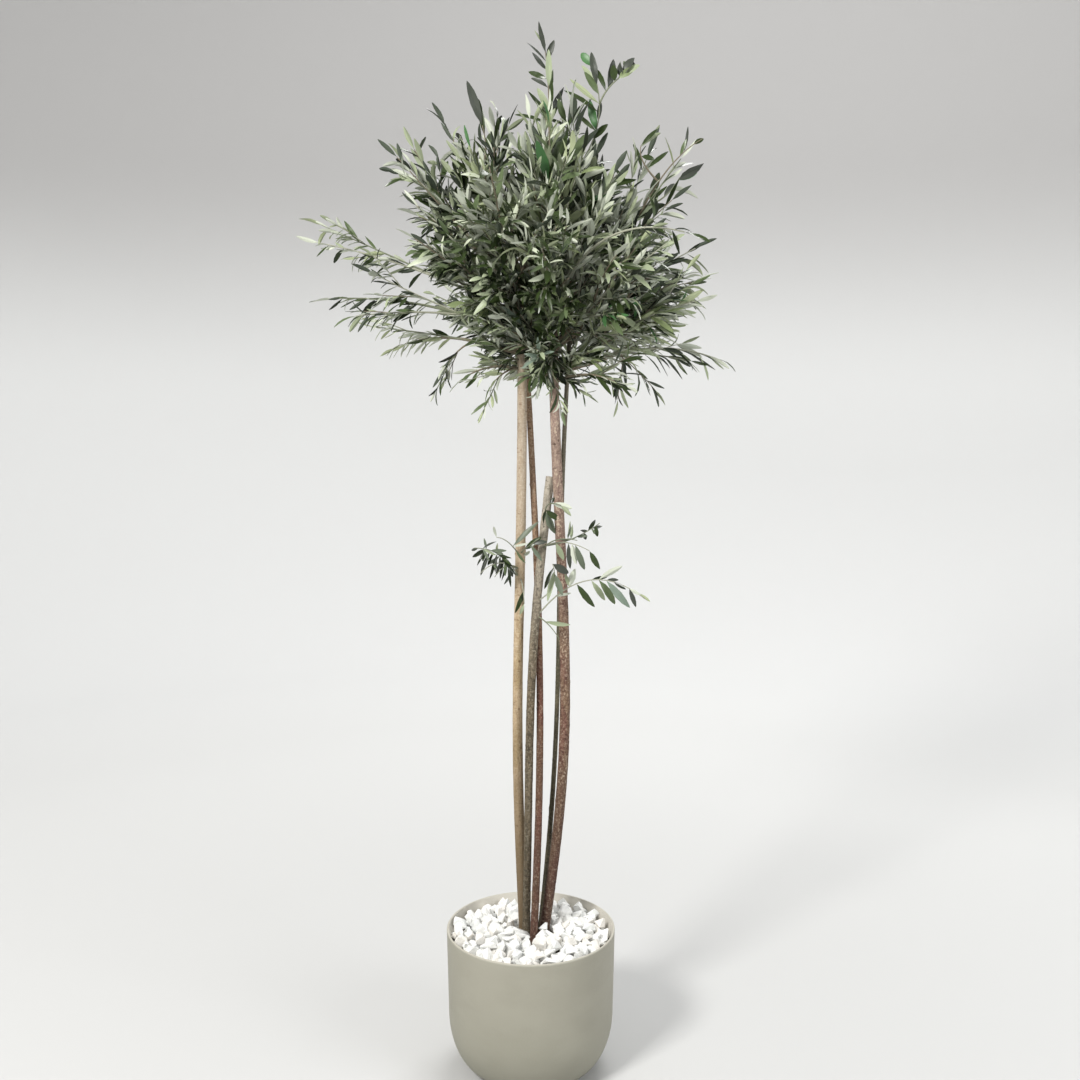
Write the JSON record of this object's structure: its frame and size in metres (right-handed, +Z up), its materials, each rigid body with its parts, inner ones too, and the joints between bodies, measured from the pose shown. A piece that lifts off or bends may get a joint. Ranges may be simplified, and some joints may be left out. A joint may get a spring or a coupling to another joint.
{
  "type": "potted olive tree",
  "caption": "Olive tree with slim bare stems in a round planter topped with white stone chips, under an open crown of long leafy sprays.",
  "frame": {"origin": "centre of the planter's flat underside", "axes": "+Z up along the stems; +X to the right and +Y away, as seen from the tree's front"},
  "size_m": [0.8599, 0.6832, 2.0932],
  "materials": {
    "pot": "matt greige clay with a slim pale lip",
    "potting_fill": "dark compost",
    "stone_chips": "white angular marble chips",
    "bark_pale": "smooth pale tan bark",
    "bark_stub": "grey-brown bark",
    "bark_slim": "red-brown bark",
    "bark_thick": "red-brown speckled bark",
    "bark_thin": "dark grey-brown bark",
    "bark_bough": "grey-green young bark",
    "foliage": "narrow leaves, dark green above and silvery below"
  },
  "bodies": {
    "root": {"pot": "pot", "potting_fill": "potting_fill", "stone_chips": "stone_chips", "stem_pale": "bark_pale", "stem_stub": "bark_stub", "stem_slim": "bark_slim", "stem_thick": "bark_thick", "stem_thin": "bark_thin", "bough_top": "bark_bough", "bough_top_right": "bark_bough", "bough_top_left": "bark_bough", "bough_top_front": "bark_bough", "bough_top_back": "bark_bough", "bough_upper_right": "bark_bough", "bough_upper_left": "bark_bough", "bough_right": "bark_bough", "bough_right_low": "bark_bough", "bough_right_drooping": "bark_bough", "bough_left": "bark_bough", "bough_left_level": "bark_bough", "bough_left_drooping": "bark_bough", "bough_front_high": "bark_bough", "bough_front_right": "bark_bough", "bough_back_high": "bark_bough", "bough_back_right": "bark_bough", "bough_back_left": "bark_bough", "crown_top": "foliage", "crown_top_right": "foliage", "crown_top_left": "foliage", "crown_top_front": "foliage", "crown_top_back": "foliage", "crown_upper_right": "foliage", "crown_upper_left": "foliage", "crown_right": "foliage", "crown_right_low": "foliage", "crown_right_drooping": "foliage", "crown_left": "foliage", "crown_left_level": "foliage", "crown_left_drooping": "foliage", "crown_front_high": "foliage", "crown_front_left": "foliage", "crown_front_middle": "foliage", "crown_front_right": "foliage", "crown_back_high": "foliage", "crown_back_right": "foliage", "crown_back_left": "foliage", "crown_low_front": "foliage", "crown_low_left": "foliage", "crown_low_right": "foliage", "crown_low_back": "foliage", "shoot_left": "foliage", "shoot_stub": "foliage", "shoot_right": "foliage", "shoot_low": "foliage"}
  },
  "joints": []
}
